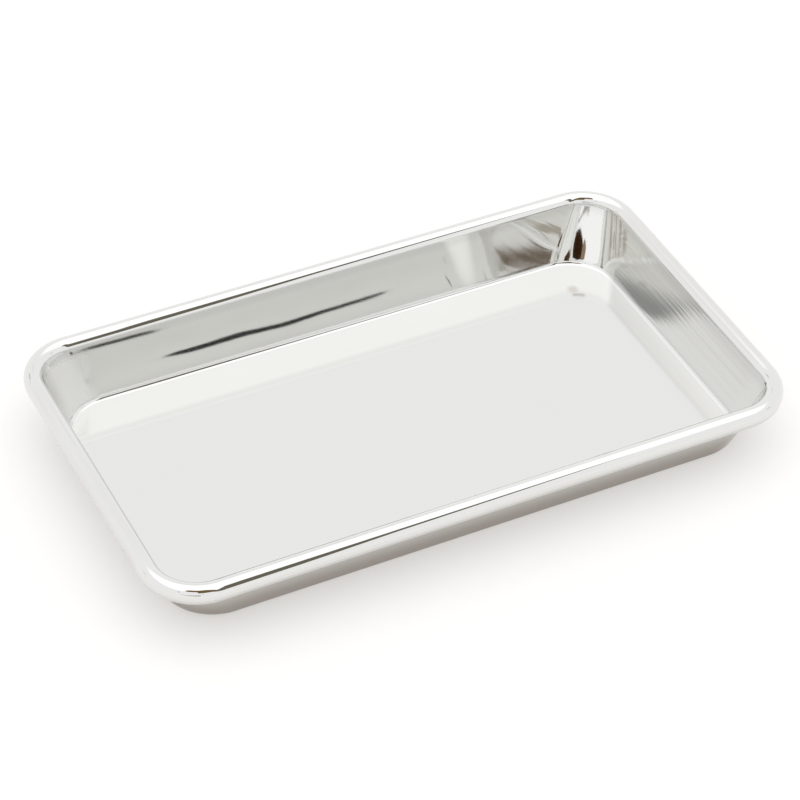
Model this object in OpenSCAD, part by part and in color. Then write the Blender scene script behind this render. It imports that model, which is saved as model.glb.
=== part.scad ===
// Pill counting tray: one pressed sheet-metal pan whose rim is rolled round a wire hoop.
// Origin at the centre of the footprint, on the surface the tray rests on.
// +X runs along the long side, +Z is up. All sizes are millimetres and degrees.

/* [Overall] */
// Length over the rim
tray_length = 228; // [180:1:300]
// Width over the rim
tray_width = 134; // [110:1:170]
// Height of the rim top above the resting surface
tray_height = 24; // [18:0.1:34]

/* [Sheet and walls] */
// Thickness of the pressed sheet
sheet = 0.7; // [0.5:0.1:1]
// Lean of the walls away from vertical
wall_draft = 14.1; // [6:0.1:16]
// Inside radius where the floor bends up into the walls
floor_bend = 1.5; // [1:0.1:4]

/* [Corners] */
// Corner radius in plan, round the outside of the rim
rim_corner = 19.6; // [16:0.1:26]
// Corner radius in plan, round the outside of the wall just above the floor bend
foot_corner = 17.2; // [14:0.1:20]

/* [Rim] */
// Outside diameter of the rolled rim
rim_diameter = 6.4; // [5:0.1:8]
// How much further down the roll hangs than a round one would
roll_drop = 0.6; // [0.1:0.1:1.2]
// Gap between the rolled-under edge and the outside of the wall
roll_gap = 0.3; // [0.2:0.05:0.8]
// Clearance all round the wire inside the roll
wire_clearance = 0.1; // [0.05:0.05:0.3]

/* [Hidden] */
$fn = 96;
half_length = tray_length / 2;
half_width = tray_width / 2;
bend_r = sheet + floor_bend;
rim_r = rim_diameter / 2;
roll_r = rim_r - sheet;
wire_r = roll_r - wire_clearance;
// Height of the middle of the roll's upper half, where the wall's corners stop leaning
rim_z = tray_height - rim_r;

// Sections: x runs outwards from the rim's outline, y is the height.
// Length of the flat wall between the floor bend and the roll
wall_run = round((rim_z - bend_r + (floor_bend + rim_r) * sin(wall_draft)) / cos(wall_draft) * 1e4) / 1e4;
// Centre line of the floor bend
bend_x = -rim_r - (floor_bend + rim_r) * cos(wall_draft) - wall_run * sin(wall_draft);
// Sideways step of the corner centres per unit of height, and where it starts on the floor
foot_centre = bend_x + bend_r - foot_corner;
corner_lean = round((-rim_corner - foot_centre) / (rim_z - bend_r) * 1e3) / 1e3;
base_centre = -rim_corner - corner_lean * rim_z;
// Angle round the roll that stays open beside the wall
roll_open = acos((roll_r + roll_drop * sin(wall_draft) - roll_gap) / rim_r);
// How far from the roll's middle its upper half is cut away below the end of the wall
roll_start = roll_r * cos(wall_draft) - 0.02;

module wedge(from, to) {
    reach = tray_height;
    mid = (from + to) / 2;
    polygon([[0, 0], reach * [cos(from), sin(from)], 2 * reach * [cos(mid), sin(mid)],
             reach * [cos(to), sin(to)]]);
}

module tube_section(outer, inner) {
    difference() {
        circle(r = outer);
        circle(r = inner);
    }
}

// The roll about the middle of its upper half: two half circles joined by a straight on the
// outside. The lower one stops short of the wall.
module roll_section() {
    difference() {
        tube_section(rim_r, roll_r);
        translate([-tray_height, -tray_height]) square([2 * tray_height, tray_height]);
    }
    translate([roll_r, -roll_drop]) square([sheet, roll_drop]);
    translate([0, -roll_drop]) difference() {
        tube_section(rim_r, roll_r);
        translate([-tray_height, 0]) square([2 * tray_height, tray_height]);
        wedge(170, 180 - wall_draft + roll_open);
    }
}

// Moves a section drawn with the wall upright, round the bend's centre, into its leaning place
module lean_wall() {
    translate([bend_x, bend_r]) rotate(-wall_draft) children();
}

// Floor bend, wall and roll
module side_section() {
    lean_wall() {
        intersection() {
            tube_section(bend_r, floor_bend);
            wedge(-120, 0);
        }
        translate([floor_bend, 0]) square([sheet, wall_run]);
        translate([floor_bend + rim_r, wall_run]) difference() {
            rotate(wall_draft) roll_section();
            translate([-tray_height, -tray_height]) square([tray_height - roll_start, tray_height]);
        }
    }
}

// What lies on the wall's side of the roll, up to the middle of the rim
module below_rim() {
    intersection() {
        translate([bend_x, -rim_z]) square([-bend_x, 2 * rim_z]);
        lean_wall() translate([-tray_height, -tray_height])
            square([tray_height + bend_r + roll_gap / 2, 3 * tray_height]);
    }
}

// The bend and wall up to the middle of the rim, with a run of floor inside them
module dish_section(floor_run) {
    polygon([[bend_x - floor_run, 0], [bend_x, 0], [bend_x, sheet], [bend_x - floor_run, sheet]]);
    intersection() {
        side_section();
        below_rim();
    }
}

// The roll, and the wall's last step below it
module rim_section() {
    difference() {
        side_section();
        translate([bend_x - tray_height, -rim_z]) square([tray_height, 2 * rim_z]);
        below_rim();
    }
}

// Sideways lean in proportion to height, in a section and in the solid
module lean_section(by) {
    multmatrix([[1, by, 0, 0], [0, 1, 0, 0], [0, 0, 1, 0], [0, 0, 0, 1]]) children();
}

module lean_corner(by) {
    multmatrix([[1, 0, by, 0], [0, 1, by, 0], [0, 0, 1, 0], [0, 0, 0, 1]]) children();
}

module dish_corner() {
    lean_corner(corner_lean) rotate_extrude(angle = 90) intersection() {
        lean_section(-corner_lean) translate([-base_centre, 0]) dish_section(half_width);
        square(tray_length);
    }
}

// Upright prism below the middle of the rim, with its ends on the planes of the leaning centres
module between_corners(half_side) {
    foot = half_side + base_centre;
    head = half_side - rim_corner;
    rotate([90, 0, 0]) linear_extrude(height = tray_length, center = true)
        polygon([[-foot, 0], [foot, 0], [head, rim_z], [-head, rim_z]]);
}

module dish() {
    intersection() {
        rotate([90, 0, 90]) linear_extrude(height = tray_length, center = true)
            for (side = [0, 1]) mirror([side, 0])
                translate([half_width, 0]) dish_section(half_width + bend_x);
        between_corners(half_length);
    }
    for (side = [0, 1]) mirror([side, 0, 0]) intersection() {
        rotate([90, 0, 0]) linear_extrude(height = tray_width, center = true)
            translate([half_length, 0]) intersection() {
                dish_section(half_length + bend_x);
                polygon([[base_centre, 0], [0, 0], [0, rim_z], [-rim_corner, rim_z]]);
            }
        rotate([0, 0, 90]) between_corners(half_width);
    }
    for (mx = [0, 1], my = [0, 1]) mirror([mx, 0, 0]) mirror([0, my, 0])
        translate([half_length + base_centre, half_width + base_centre, 0]) dish_corner();
}

// A section carried round the rim's outline
module round_rim() {
    for (mx = [0, 1], my = [0, 1]) mirror([mx, 0, 0]) mirror([0, my, 0])
        translate([half_length - rim_corner, half_width - rim_corner, 0])
            rotate_extrude(angle = 90) translate([rim_corner, 0]) children();
    for (side = [0, 1]) {
        mirror([side, 0, 0]) translate([half_length, 0, 0]) rotate([90, 0, 0])
            linear_extrude(height = 2 * (half_width - rim_corner), center = true) children();
        mirror([0, side, 0]) translate([0, half_width, 0]) rotate([90, 0, 90])
            linear_extrude(height = 2 * (half_length - rim_corner), center = true) children();
    }
}

module tray_pan() {
    color("silver") {
        dish();
        round_rim() rim_section();
    }
}

module rim_wire() {
    color("dimgray") round_rim() translate([-rim_r, rim_z]) circle(r = wire_r);
}

tray_pan();
rim_wire();
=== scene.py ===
import math

import bpy
from mathutils import Matrix, Vector


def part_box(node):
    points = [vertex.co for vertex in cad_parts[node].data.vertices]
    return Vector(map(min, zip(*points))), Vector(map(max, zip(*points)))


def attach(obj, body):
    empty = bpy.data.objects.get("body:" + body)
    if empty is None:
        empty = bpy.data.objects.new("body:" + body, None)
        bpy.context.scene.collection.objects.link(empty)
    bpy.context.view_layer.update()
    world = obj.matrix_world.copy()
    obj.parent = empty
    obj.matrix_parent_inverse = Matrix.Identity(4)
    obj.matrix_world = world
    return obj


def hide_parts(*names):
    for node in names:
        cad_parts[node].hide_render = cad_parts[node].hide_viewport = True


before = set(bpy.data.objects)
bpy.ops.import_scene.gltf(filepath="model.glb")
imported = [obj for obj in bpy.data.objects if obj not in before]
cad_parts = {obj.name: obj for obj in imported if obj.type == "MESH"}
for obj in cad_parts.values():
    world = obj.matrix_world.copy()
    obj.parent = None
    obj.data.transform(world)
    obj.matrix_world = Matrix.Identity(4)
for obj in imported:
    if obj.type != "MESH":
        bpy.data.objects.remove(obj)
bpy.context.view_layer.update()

# The pan's sizes in metres, as in its CAD source. Sections are drawn as (x, z): x outwards from
# the rim's outline in plan, z the height above the table.
MM = 0.001
SHEET = 0.7 * MM
DRAFT = math.radians(14.1)
FLOOR_BEND = 1.5 * MM
RIM_CORNER = 19.6 * MM
FOOT_CORNER = 17.2 * MM
RIM_R = 3.2 * MM
ROLL_GAP = 0.3 * MM
ROLL_DROP = 0.6 * MM
EDGE_ROUND = 0.22 * MM
# How far the middle of a wall bows out, and half the height over which its corners turn upright
WALL_BOW = 0.2 * MM
KNEE_SOFT = 0.25 * MM

pan_low, pan_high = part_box("tray_pan")
HALF_LENGTH = (pan_high[0] - pan_low[0]) / 2
HALF_WIDTH = (pan_high[1] - pan_low[1]) / 2
RIM_Z = pan_high[2] - RIM_R
BEND_R = SHEET + FLOOR_BEND
ROLL_R = RIM_R - SHEET
WALL_RUN = (RIM_Z - BEND_R + (FLOOR_BEND + RIM_R) * math.sin(DRAFT)) / math.cos(DRAFT)
BEND_X = -RIM_R - (FLOOR_BEND + RIM_R) * math.cos(DRAFT) - WALL_RUN * math.sin(DRAFT)
LEAN = (BEND_X + BEND_R - FOOT_CORNER + RIM_CORNER) / (BEND_R - RIM_Z)
ROLL_OPEN = math.acos((ROLL_R + ROLL_DROP * math.sin(DRAFT) - ROLL_GAP) / RIM_R)


# ---------------------------------------------------------------- the section
def arc(centre, radius, start, end, steps, leans=False):
    """Section points (x, z, dx, dz, leans) round a circle, angles in radians."""
    turn = 1 if end > start else -1
    points = []
    for i in range(steps + 1):
        a = start + (end - start) * i / steps
        points.append((
            centre[0] + radius * math.cos(a), centre[1] + radius * math.sin(a),
            -turn * math.sin(a), turn * math.cos(a), leans,
        ))
    return points


def wall_points(foot, side, runs, leans):
    """Section points up or down a wall (side 1 or -1), which bows out a little between its ends."""
    up = (math.sin(DRAFT), math.cos(DRAFT))
    points = []
    for run in runs:
        share = run / WALL_RUN
        bow = -WALL_BOW * math.sin(math.pi * share)
        tilt = -WALL_BOW * math.pi / WALL_RUN * math.cos(math.pi * share)
        dx, dz = side * (up[0] - tilt * up[1]), side * (up[1] + tilt * up[0])
        size = math.hypot(dx, dz)
        points.append((foot[0] + up[0] * run - bow * up[1], foot[1] + up[1] * run + bow * up[0],
                       dx / size, dz / size, leans))
    return points


def pan_section():
    """Once round the sheet, from the floor's top over the roll to the floor's underside."""
    up_x, up_z = math.sin(DRAFT), math.cos(DRAFT)
    bend, roll, low_roll = (BEND_X, BEND_R), (-RIM_R, RIM_Z), (-RIM_R, RIM_Z - ROLL_DROP)
    foot_in = (bend[0] + FLOOR_BEND * up_z, bend[1] - FLOOR_BEND * up_x)
    foot_out = (bend[0] + BEND_R * up_z, bend[1] - BEND_R * up_x)
    wall_side = math.pi - DRAFT
    edge = ROLL_OPEN - math.pi - DRAFT + math.asin(EDGE_ROUND / (RIM_R - SHEET / 2))

    section = arc(bend, FLOOR_BEND, -math.pi / 2, -DRAFT, 12, True)
    runs = wall_runs(foot_in)
    section += wall_points(foot_in, 1, runs[0], True) + wall_points(foot_in, 1, runs[1], False)
    section += arc(roll, RIM_R, wall_side, 0, 28) + arc(low_roll, RIM_R, 0, edge, 24)
    for radius, start in ((RIM_R - EDGE_ROUND, 0), (ROLL_R + EDGE_ROUND, math.pi / 2)):
        centre = (low_roll[0] + radius * math.cos(edge), low_roll[1] + radius * math.sin(edge))
        section += arc(centre, EDGE_ROUND, edge - start, edge - start - math.pi / 2, 4)[1:]
    section += arc(low_roll, ROLL_R, edge, 0, 16)[1:] + arc(roll, ROLL_R, 0, wall_side, 18)
    runs = wall_runs(foot_out)
    section += wall_points(foot_out, -1, runs[1][::-1], False)
    section += wall_points(foot_out, -1, runs[0][::-1], True)
    section += arc(bend, BEND_R, -DRAFT, -math.pi / 2, 12, True)
    return section


def wall_runs(foot):
    """Distances up a wall from its foot: below, and above, the height where its corners turn upright."""
    knee = (RIM_Z - foot[1]) / math.cos(DRAFT)
    below, above = knee - KNEE_SOFT, knee + KNEE_SOFT
    return [below * i / 18 for i in range(1, 19)], [above, (above + WALL_RUN) / 2]


# ---------------------------------------------------------------- the sweep
CORNER_STEPS = 24
FLAT_STEP = 5 * MM
# How far to each side of a corner's ends its turn fades in
TURN_FADE = 1.5 * MM
FLOOR_RINGS = 9


def turn_ease(run):
    """How far the surface has already turned, at a distance from where its corner starts."""
    return max(0, TURN_FADE - abs(run)) ** 2 / (4 * TURN_FADE * RIM_CORNER)


def flat_runs(length):
    """Distances along a straight side, closer together next to the corners."""
    near = [TURN_FADE * i / 4 for i in range(1, 5)]
    count = round((length - 2 * TURN_FADE) / FLAT_STEP)
    middle = [TURN_FADE + (length - 2 * TURN_FADE) * i / count for i in range(1, count)]
    return near + middle + [length - run for run in near[::-1]]


def outline_stops():
    """Stops round the plan: two corners, the share of the way from one to the other, the angle
    of the outline, and the angle the surface faces."""
    signs = [(1, 1), (-1, 1), (-1, -1), (1, -1)]
    corner = math.pi / 2 * RIM_CORNER
    stops = []
    for k, sign in enumerate(signs):
        turn = k * math.pi / 2
        for i in range(CORNER_STEPS + 1):
            run = corner * i / CORNER_STEPS
            angle = turn + run / RIM_CORNER
            stops.append((sign, sign, 0, angle, angle + turn_ease(run) - turn_ease(corner - run)))
        after = signs[(k + 1) % 4]
        turn += math.pi / 2
        length = 2 * ((HALF_WIDTH if k % 2 else HALF_LENGTH) - RIM_CORNER)
        for run in flat_runs(length):
            faces = turn - turn_ease(run) + turn_ease(length - run)
            stops.append((sign, after, run / length, turn, faces))
    return stops


def ring(point, stops):
    """The vertices and normals that a section point gives when it is carried round the plan."""
    x, z, dx, dz, leans = point
    inset = RIM_CORNER + (LEAN * (RIM_Z - z) if leans else 0)
    inset_step = -LEAN * dz if leans else 0
    radius = inset + x
    centre = Vector((HALF_LENGTH - inset, HALF_WIDTH - inset))
    spots, normals = [], []
    for start, end, share, angle, faces in stops:
        out = Vector((math.cos(angle), math.sin(angle)))
        a = Vector((start[0] * centre.x, start[1] * centre.y))
        b = Vector((end[0] * centre.x, end[1] * centre.y))
        spot = a.lerp(b, share) + out * radius
        spots.append(Vector((spot.x, spot.y, z)))
        out = Vector((math.cos(faces), math.sin(faces)))
        slope = dx + inset_step * (1 - abs(out.x) - abs(out.y))
        normals.append(Vector((-dz * out.x, -dz * out.y, slope)).normalized())
    return spots, normals


def floor_rings(edge_ring, side):
    """Rings from the floor's edge in to its middle line, for the top (1) or underside (-1)."""
    spine = HALF_LENGTH - HALF_WIDTH
    rings = []
    for i in range(1, FLOOR_RINGS + 1):
        keep = 1 - i / FLOOR_RINGS
        spots = []
        for p in edge_ring:
            middle = Vector((max(-spine, min(spine, p.x)), 0, p.z))
            spots.append(middle + (p - middle) * keep)
        rings.append((spots, [Vector((0, 0, side))] * len(spots)))
    return rings


def build_pan():
    """The whole sheet as one closed mesh, with the true normal of its form at every vertex."""
    stops = outline_stops()
    count = len(stops)
    rings = [ring(p, stops) for p in pan_section()]
    rings = floor_rings(rings[0][0], 1)[::-1] + rings + floor_rings(rings[-1][0], -1)
    places, normals, index, known = [], [], [], {}
    for spots, ring_normals in rings:
        row = []
        for spot, normal in zip(spots, ring_normals):
            key = (round(spot.x / 1e-7), round(spot.y / 1e-7), round(spot.z / 1e-7))
            if key not in known:
                known[key] = len(places)
                places.append(spot)
                normals.append(normal)
            row.append(known[key])
        index.append(row)
    faces = []
    for low, high in zip(index, index[1:]):
        for i in range(count):
            j = (i + 1) % count
            loop = list(dict.fromkeys((low[i], high[i], high[j], low[j])))
            if len(loop) > 2:
                faces.append(loop)
    mesh = bpy.data.meshes.new("pan_sheet")
    mesh.from_pydata(places, [], faces)
    mesh.validate()
    mesh.shade_smooth()
    mesh.normals_split_custom_set_from_vertices(normals)
    pan = bpy.data.objects.new("pan_sheet", mesh)
    bpy.context.scene.collection.objects.link(pan)
    return pan


# ---------------------------------------------------------------- materials
FLOOR_STEEL = (0.755, 0.755, 0.745, 1)
# Painted reflection: the walls' steel is given a brighter colour than the floor's to stand in for the
# brighter light they reflect
BRIGHTENED_WALL_STEEL = (0.83, 0.83, 0.812, 1)
WORN_STEEL = (0.58, 0.545, 0.51, 1)
# Painted shade: a darker, warmer steel for the faces underneath, standing in for the floor's shadow near
# the tray's foot as they reflect it
SHADED_OUTER_STEEL = (0.4, 0.365, 0.335, 1)
WIRE_STEEL = (0.52, 0.51, 0.49, 1)
WIRE_OXIDE = (0.36, 0.34, 0.32, 1)
# The middle of the one small stain on the floor
STAIN = (87 * MM, 40.5 * MM, SHEET)


def add_node(tree, kind, **inputs):
    """A node of that kind, with its inputs set by name and its other settings by lower-case name."""
    node = tree.nodes.new(kind)
    for key, value in inputs.items():
        if key in node.inputs:
            node.inputs[key].default_value = value
        else:
            setattr(node, key, value)
    return node


def grain(tree, place, scale, detail):
    """Noise stretched by a scale along each axis."""
    stretch = add_node(tree, "ShaderNodeMapping")
    stretch.inputs["Scale"].default_value = scale
    noise = add_node(tree, "ShaderNodeTexNoise", Scale=1, Detail=detail)
    tree.links.new(place, stretch.inputs["Vector"])
    tree.links.new(stretch.outputs["Vector"], noise.inputs["Vector"])
    return noise.outputs["Fac"]


def ramp(tree, value, low, high, start, end):
    """value from low to high, carried to start to end, and held there outside."""
    span = add_node(tree, "ShaderNodeMapRange", interpolation_type="SMOOTHSTEP")
    for name, number in zip(("From Min", "From Max", "To Min", "To Max"), (low, high, start, end)):
        span.inputs[name].default_value = number
    tree.links.new(value, span.inputs["Value"])
    return span.outputs["Result"]


def math_node(tree, operation, *values):
    node = add_node(tree, "ShaderNodeMath", operation=operation)
    for socket, value in zip(node.inputs, values):
        if isinstance(value, (int, float)):
            socket.default_value = value
        else:
            tree.links.new(value, socket)
    return node.outputs[0]


def steel_shader(name):
    """A new metal material: its tree, its shader and its place and height sockets."""
    mat = bpy.data.materials.new(name)
    mat.use_nodes = True
    tree = mat.node_tree
    shader = tree.nodes["Principled BSDF"]
    shader.inputs["Metallic"].default_value = 1
    place = add_node(tree, "ShaderNodeTexCoord").outputs["Object"]
    axes = add_node(tree, "ShaderNodeSeparateXYZ")
    tree.links.new(place, axes.inputs[0])
    return mat, tree, shader, place, axes.outputs


def mix_colours(tree, share, start, end):
    mix = add_node(tree, "ShaderNodeMix", data_type="RGBA")
    for socket, colour in ((mix.inputs[6], start), (mix.inputs[7], end)):
        if isinstance(colour, tuple):
            socket.default_value = colour
        else:
            tree.links.new(colour, socket)
    tree.links.new(share, mix.inputs[0])
    return mix.outputs[2]


def product(tree, *values):
    result, *rest = values
    for value in rest:
        result = math_node(tree, "MULTIPLY", result, value)
    return result


def pan_zones(tree, axes):
    """Masks from 0 to 1 for the kinds of place on the pan."""
    height = axes["Z"]
    along, across = (math_node(tree, "ABSOLUTE", axes[name]) for name in "XY")
    facing = add_node(tree, "ShaderNodeSeparateXYZ")
    tree.links.new(add_node(tree, "ShaderNodeNewGeometry").outputs["Normal"], facing.inputs[0])
    foot, straight = HALF_LENGTH + BEND_X, HALF_LENGTH - RIM_CORNER
    wall = ramp(tree, height, 1 * MM, 3 * MM, 0, 1)
    below_rim = product(tree, wall, ramp(tree, height, 17.5 * MM, 20.5 * MM, 1, 0))
    mid_side = ramp(
        tree, across, HALF_WIDTH - RIM_CORNER - 8 * MM, HALF_WIDTH - RIM_CORNER, 1, 0.15)
    return {
        "wall": wall,
        "below_rim": below_rim,
        "end": product(tree, ramp(tree, along, foot - 1 * MM, foot + 1 * MM, 0.1, 1), mid_side),
        "corner": product(
            tree, ramp(tree, along, straight - 9 * MM, straight - 3 * MM, 0, 1),
            math_node(tree, "SUBTRACT", 1, mid_side), below_rim),
        "underneath": ramp(tree, facing.outputs["Z"], -0.15, 0.02, 1, 0),
    }


def pan_lines(tree, place, height, zones):
    """Fine level lines on the end walls, stronger higher up."""
    upper = ramp(tree, height, 4 * MM, 12 * MM, 0.35, 1)
    lines = ramp(tree, grain(tree, place, (10, 10, 950), 3), 0.35, 0.65, 0, 1)
    return product(tree, zones["wall"], zones["end"], upper, lines)


def pan_roughness(tree, axes, zones, lines, smudges):
    """The floor dulls to the right, and the corners of the walls to the left."""
    floor = math_node(tree, "SUBTRACT", 1, zones["wall"])
    rough = 0.015
    for zone, amount in (
            (floor, ramp(tree, axes["X"], 35 * MM, 110 * MM, 0, 0.08)),
            (smudges, 0.02), (lines, 0.08),
            (zones["corner"], ramp(tree, axes["X"], -60 * MM, 60 * MM, 0.3, 0.02)),
            (zones["underneath"], 0.1)):
        rough = math_node(tree, "MULTIPLY_ADD", zone, amount, rough)
    return rough


def pan_colour(tree, place, height, zones, lines, smudges):
    """Walls painted brighter than the floor as a painted reflection, darker lines and smudges, one
    stain, and painted shade on the faces underneath, darkest at the foot.
    """
    reach = add_node(tree, "ShaderNodeVectorMath", operation="DISTANCE")
    reach.inputs[1].default_value = STAIN
    tree.links.new(place, reach.inputs[0])
    worn = ramp(tree, reach.outputs["Value"], 0.5 * MM, 3 * MM, 0.8, 0)
    for zone, amount in ((smudges, 0.06), (lines, 0.18)):
        worn = math_node(tree, "MULTIPLY_ADD", zone, amount, worn)
    # Painted shade: faces underneath darkened most at the foot, as if reflecting the floor in the tray's
    # shadow
    painted_foot_shade = product(tree, zones["underneath"], ramp(tree, height, 2 * MM, 17 * MM, 1, 0.2))
    # Painted reflection: walls below the rim get the brighter wall steel
    colour = mix_colours(tree, zones["below_rim"], FLOOR_STEEL, BRIGHTENED_WALL_STEEL)
    colour = mix_colours(tree, worn, colour, WORN_STEEL)
    return mix_colours(tree, painted_foot_shade, colour, SHADED_OUTER_STEEL)


def pan_bumps(tree, place, lines):
    """Slow waves in the sheet, and the lines' own depth."""
    waves = add_node(tree, "ShaderNodeBump", Strength=1.0, Distance=0.03 * MM)
    tree.links.new(grain(tree, place, (35, 35, 60), 1), waves.inputs["Height"])
    scratch = add_node(tree, "ShaderNodeBump", Strength=1.0, Distance=0.01 * MM)
    tree.links.new(lines, scratch.inputs["Height"])
    tree.links.new(waves.outputs["Normal"], scratch.inputs["Normal"])
    return scratch.outputs["Normal"]


def pan_steel():
    """Satin floor, walls painted brighter as a painted reflection with fine lines at the ends, painted
    shade underneath, and a faint unevenness all over.
    """
    mat, tree, shader, place, axes = steel_shader("satin_steel")
    zones = pan_zones(tree, axes)
    lines = pan_lines(tree, place, axes["Z"], zones)
    smudges = grain(tree, place, (28, 28, 28), 3)
    for name, socket in (
            ("Roughness", pan_roughness(tree, axes, zones, lines, smudges)),
            ("Base Color", pan_colour(tree, place, axes["Z"], zones, lines, smudges)),
            ("Normal", pan_bumps(tree, place, lines))):
        tree.links.new(socket, shader.inputs[name])
    return mat


def wire_steel():
    """Dull drawn wire: fine streaks in its roughness, and grey blotches of oxide."""
    mat, tree, shader, place, _ = steel_shader("drawn_steel")
    blotches = ramp(tree, grain(tree, place, (60, 60, 60), 3), 0.4, 0.7, 0, 1)
    streaks = grain(tree, place, (900, 900, 900), 2)
    rough = math_node(tree, "MULTIPLY_ADD", streaks, 0.2, 0.28)
    tree.links.new(rough, shader.inputs["Roughness"])
    colour = mix_colours(tree, blotches, WIRE_STEEL, WIRE_OXIDE)
    tree.links.new(colour, shader.inputs["Base Color"])
    score = add_node(tree, "ShaderNodeBump", Strength=0.6, Distance=0.01 * MM)
    tree.links.new(streaks, score.inputs["Height"])
    tree.links.new(score.outputs["Normal"], shader.inputs["Normal"])
    return mat


# ---------------------------------------------------------------- the studio
# The floor's half size, and how far it lies under the tray so that the two don't coincide
FLOOR_SIZE = 6
FLOOR_SINK = 0.02 * MM


def add_floor():
    """A pale floor that glows a little, so that it stays near white in the tray's shade."""
    size, sink = FLOOR_SIZE, FLOOR_SINK
    mesh = bpy.data.meshes.new("floor")
    mesh.from_pydata(
        [(-size, -size, -sink), (size, -size, -sink), (size, size, -sink), (-size, size, -sink)],
        [], [(0, 1, 2, 3)])
    floor = bpy.data.objects.new("floor", mesh)
    bpy.context.scene.collection.objects.link(floor)
    mat = bpy.data.materials.new("floor")
    mat.use_nodes = True
    shader = mat.node_tree.nodes["Principled BSDF"]
    shader.inputs["Base Color"].default_value = (0.56, 0.553, 0.543, 1)
    shader.inputs["Emission Color"].default_value = (1, 0.99, 0.975, 1)
    shader.inputs["Emission Strength"].default_value = 0.39
    shader.inputs["Roughness"].default_value = 0.9
    mesh.materials.append(mat)


def add_world():
    """White all round, with a brighter soft light overhead."""
    world = bpy.data.worlds.new("studio")
    bpy.context.scene.world = world
    world.use_nodes = True
    tree = world.node_tree
    back = tree.nodes["Background"]
    back.inputs["Color"].default_value = (1, 1, 1, 1)
    axes = add_node(tree, "ShaderNodeSeparateXYZ")
    tree.links.new(add_node(tree, "ShaderNodeTexCoord").outputs["Generated"], axes.inputs[0])
    edge = [math.sin(math.radians(e)) for e in (46, 56)]
    tree.links.new(ramp(tree, axes.outputs["Z"], *edge, 1.07, 1.42), back.inputs["Strength"])


# How far off the cards stand, so that the whole tray sees them in the same direction
CARD_DISTANCE = 12


def add_card(name, colour, edges):
    """A card that only reflections see. Edges are (azimuth, low, high) in degrees from the tray:
    azimuth 0 is the far side, 90 the right, and the heights are above the table."""
    spots, faces = [], []
    for i, (azimuth, low, high) in enumerate(edges):
        for height in (low, high):
            a, e = math.radians(azimuth), math.radians(height)
            spots.append(CARD_DISTANCE * Vector((
                math.sin(a) * math.cos(e), math.cos(a) * math.cos(e), math.sin(e))))
        if i:
            faces.append((2 * i - 2, 2 * i, 2 * i + 1, 2 * i - 1))
    mesh = bpy.data.meshes.new(name)
    mesh.from_pydata(spots, [], faces)
    card = bpy.data.objects.new(name, mesh)
    bpy.context.scene.collection.objects.link(card)
    mat = bpy.data.materials.new(name)
    mat.use_nodes = True
    tree = mat.node_tree
    tree.nodes.clear()
    glow = add_node(tree, "ShaderNodeEmission", Color=(*colour, 1))
    tree.links.new(glow.outputs[0], add_node(tree, "ShaderNodeOutputMaterial").inputs["Surface"])
    mesh.materials.append(mat)
    card.visible_camera = card.visible_diffuse = card.visible_shadow = False


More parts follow.
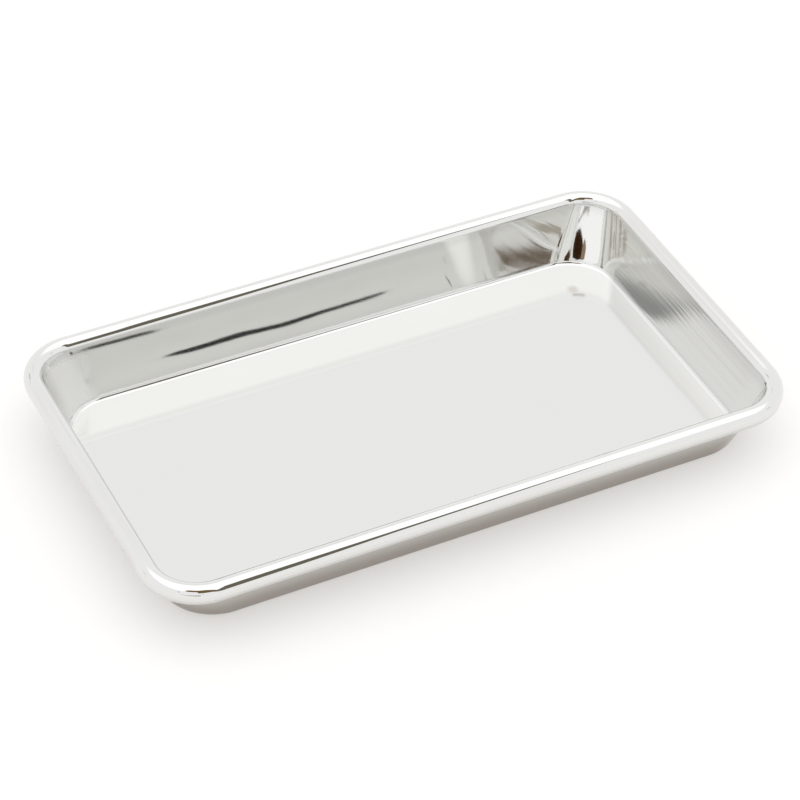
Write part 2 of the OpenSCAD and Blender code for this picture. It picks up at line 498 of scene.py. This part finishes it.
def add_cards():
    """What the photographed tray mirrors: the room's dark edges and the photographer."""
    add_card("dark_strip", (0.03, 0.03, 0.03), [
        (20.1, 35.9, 36.15), (20.5, 35.6, 36.25), (21, 35.4, 36.15), (22, 35.2, 36),
        (23.2, 34.95, 35.6), (24.4, 34.7, 35.25), (25.8, 34.85, 35.15)])
    add_card("short_strip", (0.05, 0.05, 0.04), [
        (19.2, 40.35, 40.75), (20.2, 40.2, 40.65), (21.2, 39.9, 40.3)])
    add_card("dark_shelf", (0.17, 0.155, 0.12), [
        (140, 50, 54), (146, 46.5, 57), (149, 44.5, 58), (152, 42, 56), (155, 39, 52),
        (158, 33, 50), (161, 25, 47), (164, 20, 43), (169, 24, 44), (175, 30, 50)])
    add_card("brown_head", (0.03, 0.012, 0.003), [
        (199, 5.6, 12.5), (203, 5.9, 12.5), (208, 6.7, 12.5), (212, 7.7, 12.5), (216, 8.7, 12.5),
        (220, 9.8, 12.5), (222.5, 10.4, 12.5)])
    add_card("brown_side", (0.28, 0.2, 0.13), [
        (222.5, 9.6, 12.5), (226, 9.9, 12.5), (231, 10.8, 12.5)])
    add_card("brown_body", (0.19, 0.13, 0.06), [
        (169, 30, 52), (175, 33, 60), (182, 36, 66), (203, 36, 67), (204.5, 49, 67),
        (222, 50, 68), (232, 53, 66)])
    add_card("brown_block", (0.1, 0.05, 0.005), [
        (193.9, 20.2, 22.5), (194.6, 19.6, 22.9), (195.8, 19.5, 23), (196.6, 19.7, 22.8)])
    add_card("brown_tail", (0.08, 0.04, 0.015), [
        (338, 31.3, 33.2), (345, 30.7, 33.1), (350, 31.9, 33.2), (352, 32.4, 33)])
    add_card("tan_tail", (0.6, 0.56, 0.5), [
        (327, 26.6, 28), (331, 27.8, 29.2), (336, 29.6, 30.8), (341, 30.6, 31.2)])
    add_card("grey_line", (0.45, 0.44, 0.42), [
        (198, 3.8, 4.4), (206, 4.2, 4.8), (214, 5.1, 5.7), (222, 6, 6.5)])
    add_card("grey_edge", (0.42, 0.43, 0.43), [
        (234.5, 31, 35.5), (236.2, 31, 36), (237.2, 31, 36.8), (238.5, 32, 37.2), (239.5, 34, 37)])
    add_card("grey_soft", (0.72, 0.73, 0.73), [
        (234.5, 35.5, 36.3), (236.2, 36, 37), (237.2, 36.8, 37.7), (238.5, 37.2, 38),
        (239.5, 37, 37.8)])
    add_card("tan_side", (0.64, 0.6, 0.54), [
        (299.5, 15.5, 18.5), (303, 16.6, 19), (306, 18, 21), (309, 19.5, 21.5)])
    add_card("tan_far", (0.6, 0.55, 0.48), [
        (111.5, 24.5, 28.2), (113, 24, 28.6), (117, 24, 28.6), (121, 25, 28.2)])


# The camera: its lens and sensor in mm, and its distance and aim in lengths of the tray
AZIMUTH = math.radians(-27.106)
ELEVATION = math.radians(40.774)
ROLL = math.radians(1.345)
LENS = 135.13
SENSOR = 36
DISTANCE = 4.4451
AIM = (0.0231, 0.0556, 0.0031)


def add_camera():
    """The photograph's own view."""
    length = 2 * HALF_LENGTH
    back = Vector((
        math.sin(AZIMUTH) * math.cos(ELEVATION), -math.cos(AZIMUTH) * math.cos(ELEVATION),
        math.sin(ELEVATION)))
    level = Vector((math.cos(AZIMUTH), math.sin(AZIMUTH), 0))
    upright = back.cross(level)
    right = level * math.cos(ROLL) + upright * math.sin(ROLL)
    up = upright * math.cos(ROLL) - level * math.sin(ROLL)
    data = bpy.data.cameras.new("camera")
    data.lens = LENS
    data.sensor_width = SENSOR
    data.clip_start = 0.05
    data.clip_end = 50
    cam = bpy.data.objects.new("camera", data)
    bpy.context.scene.collection.objects.link(cam)
    turn = Matrix((right, up, back)).transposed().to_4x4()
    place = Vector(AIM) * length + back * DISTANCE * length
    cam.matrix_world = Matrix.Translation(place) @ turn
    bpy.context.scene.camera = cam


def main():
    pan = build_pan()
    pan.data.materials.append(pan_steel())
    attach(pan, "root")
    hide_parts("tray_pan")
    drawn = wire_steel()
    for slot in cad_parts["rim_wire"].material_slots:
        slot.material = drawn
    add_floor()
    add_world()
    add_cards()
    add_camera()
    view = bpy.context.scene.view_settings
    view.view_transform = "Standard"
    view.look = "None"


main()
